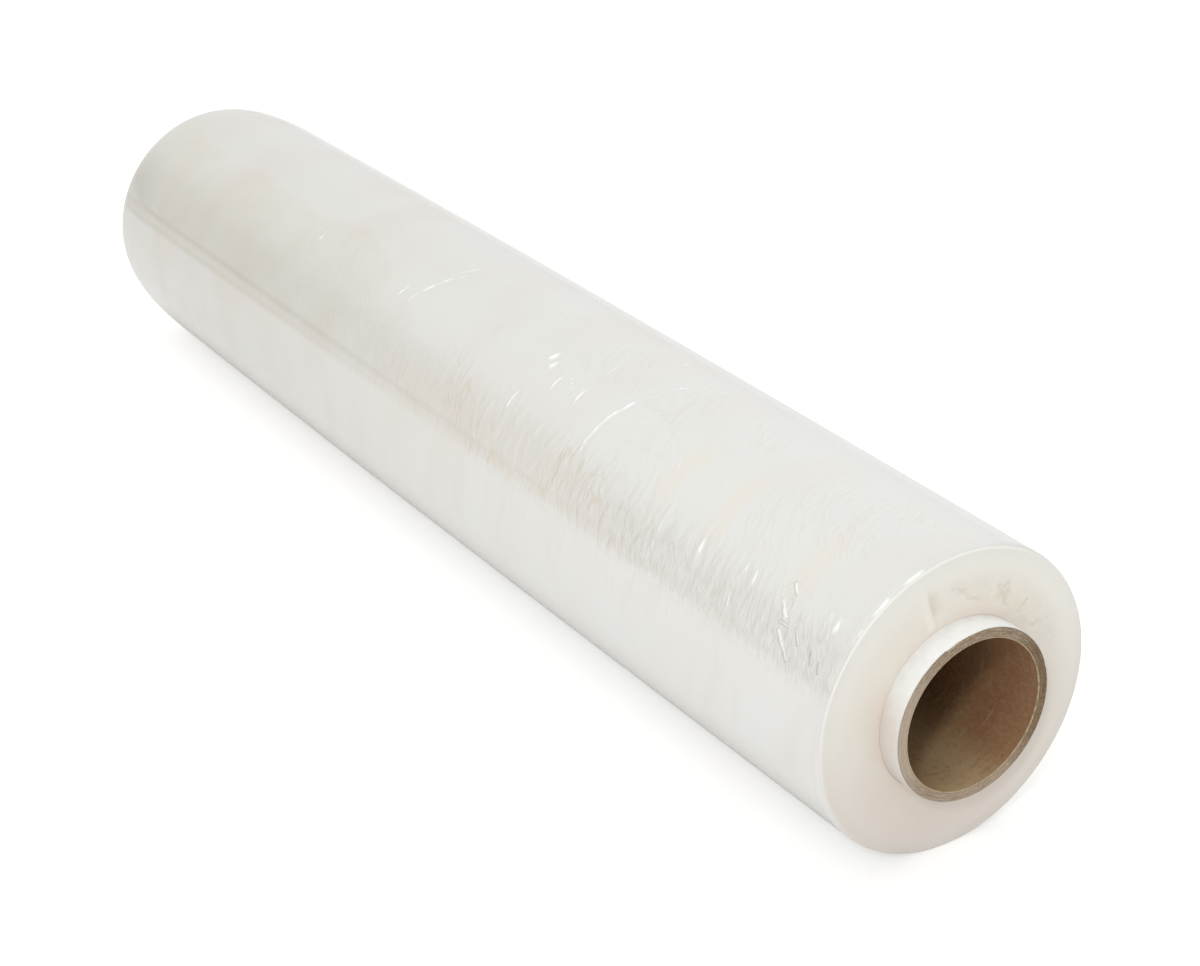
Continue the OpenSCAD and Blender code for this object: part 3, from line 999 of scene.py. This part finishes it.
    fuzz = graph.noise(place, 2600.0, 3.0, 0.7)
    relief = fibres * 0.4 + fuzz * 0.3 + graph.noise(place, 620.0, 3.0, 0.6) * 0.6 + grain * cut * 0.6
    normal = graph.bump(relief, 0.00016)
    sockets = {
        "Base Color": colour,
        "Roughness": 0.82 + fuzz * 0.14,
        "Specular IOR Level": 0.25,
        "Normal": normal,
    }
    graph.finish(graph.node("BsdfPrincipled", None, sockets)["BSDF"])
    return material


def makeCore():
    mesh = spinOutline(coreOutline(), core["steps"])
    piece = makePiece("boardCore", mesh, boardMaterial())
    shapeCore(piece.data)
    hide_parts("core_tube")
    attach(piece, "root")
    return piece


corePiece = makeCore()
print("core built,", sum(len(p.vertices) - 2 for p in corePiece.data.polygons), "triangles")


# White facing paper round the core

facing = {
    "thickness": 0.0003,
    "steps": 216,
    "collarRings": 10,
    "edgeWave": 0.00010,
    "sink": 0.012,  # how far the finely ringed collar reaches into the film
    "colours": {
        "paper": (0.85, 0.855, 0.84, 1),
        "paperPale": (0.875, 0.88, 0.87, 1),
        "weave": (0.76, 0.755, 0.73, 1),
        "smudge": (0.77, 0.765, 0.75, 1),
        "cutEdge": (0.70, 0.67, 0.62, 1),
        "collarShade": (0.62, 0.55, 0.49, 1),
        "collarGrey": (0.72, 0.72, 0.71, 1),
    },
}


def facingOutline():
    inner = facingRadius - facing["thickness"]
    collar = np.linspace(film["half"] - facing["sink"], facingHalf - 0.0001, facing["collarRings"])
    near = [(float(x), facingRadius) for x in collar] + [(facingHalf, facingRadius - 0.00008)]
    far = [(-x, radius) for x, radius in reversed(near)]
    return far + near + [(facingHalf, inner), (-facingHalf, inner)]


def shapeFacing(data):
    x, turn, radius = readRoll(data)
    atEnd = np.abs(x) > facingHalf - 0.0003
    wave = aroundWave(turn, 51, 8, 2, 26) * facing["edgeWave"]
    x = np.where(atEnd, x - np.sign(x) * (np.abs(wave) + 0.00002), x)
    collar = smoothRise(np.abs(x), film["half"] + 0.001, facingHalf)
    outside = radius > facingRadius - facing["thickness"] / 2
    lift = 0.00004 * aroundWave(turn, 52, 5, 2, 9) * collar
    radius = np.where(outside, radius - np.abs(lift), radius) - rimStep(turn) * collar * (x > 0)
    writeRoll(data, x, turn, radius)


def paperMaterial():
    material, graph = startMaterial("whiteFacing")
    paint = facing["colours"]
    place, x, y, up, turn, radius = rollCoordinates(graph)
    cloud = graph.noise(place, 120.0, 3.0, 0.6)
    weave = graph.noise(graph.vector(x * 1500.0, y * 3200.0, up * 3200.0), 1.0, 2.0, 0.6)
    colour = graph.tint(graph.ease(cloud, 0.35, 0.7), paint["paper"], paint["paperPale"])
    colour = graph.tint(graph.ease(weave, 0.45, 0.8) * 0.35, colour, paint["weave"])
    smudge = graph.noise(place, 330.0, 3.0, 0.6)
    colour = graph.tint(graph.ease(smudge, 0.46, 0.64) * 0.35, colour, paint["smudge"])
    edge = graph.ease(abs(x), facingHalf - 0.0005, facingHalf - 0.0001)
    colour = graph.tint(edge * 0.35, colour, paint["cutEdge"])
    # painted shade on the collar: at its foot by the film, on its lower side and on its left
    footShade = 1.0 - graph.ease(abs(x), film["half"] + 0.0004, film["half"] + 0.0052)
    left = graph.ease(turn, math.radians(48), math.radians(88))
    lowerShade = graph.ease(-up, -0.012, 0.024)
    collarShade = graph.maths("MAXIMUM", lowerShade * 0.95, left * 0.72)
    colour = graph.tint(footShade * 0.08 + collarShade * 0.9, colour, paint["collarShade"])
    tipward = graph.ease(abs(x), film["half"] + 0.003, facingHalf)
    colour = graph.tint(tipward * 0.25, colour, paint["collarGrey"])
    normal = graph.bump(weave * 0.6 + cloud * 0.4, 0.00005)
    sockets = {"Base Color": colour, "Roughness": 0.55 + cloud * 0.12, "Normal": normal}
    graph.finish(graph.node("BsdfPrincipled", None, sockets)["BSDF"])
    return material


def makeFacing():
    mesh = spinOutline(facingOutline(), facing["steps"])
    piece = makePiece("facingPaper", mesh, paperMaterial())
    shapeFacing(piece.data)
    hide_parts("core_facing")
    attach(piece, "root")
    return piece


facingPiece = makeFacing()
print("facing wrapped,", sum(len(p.vertices) - 2 for p in facingPiece.data.polygons), "triangles")
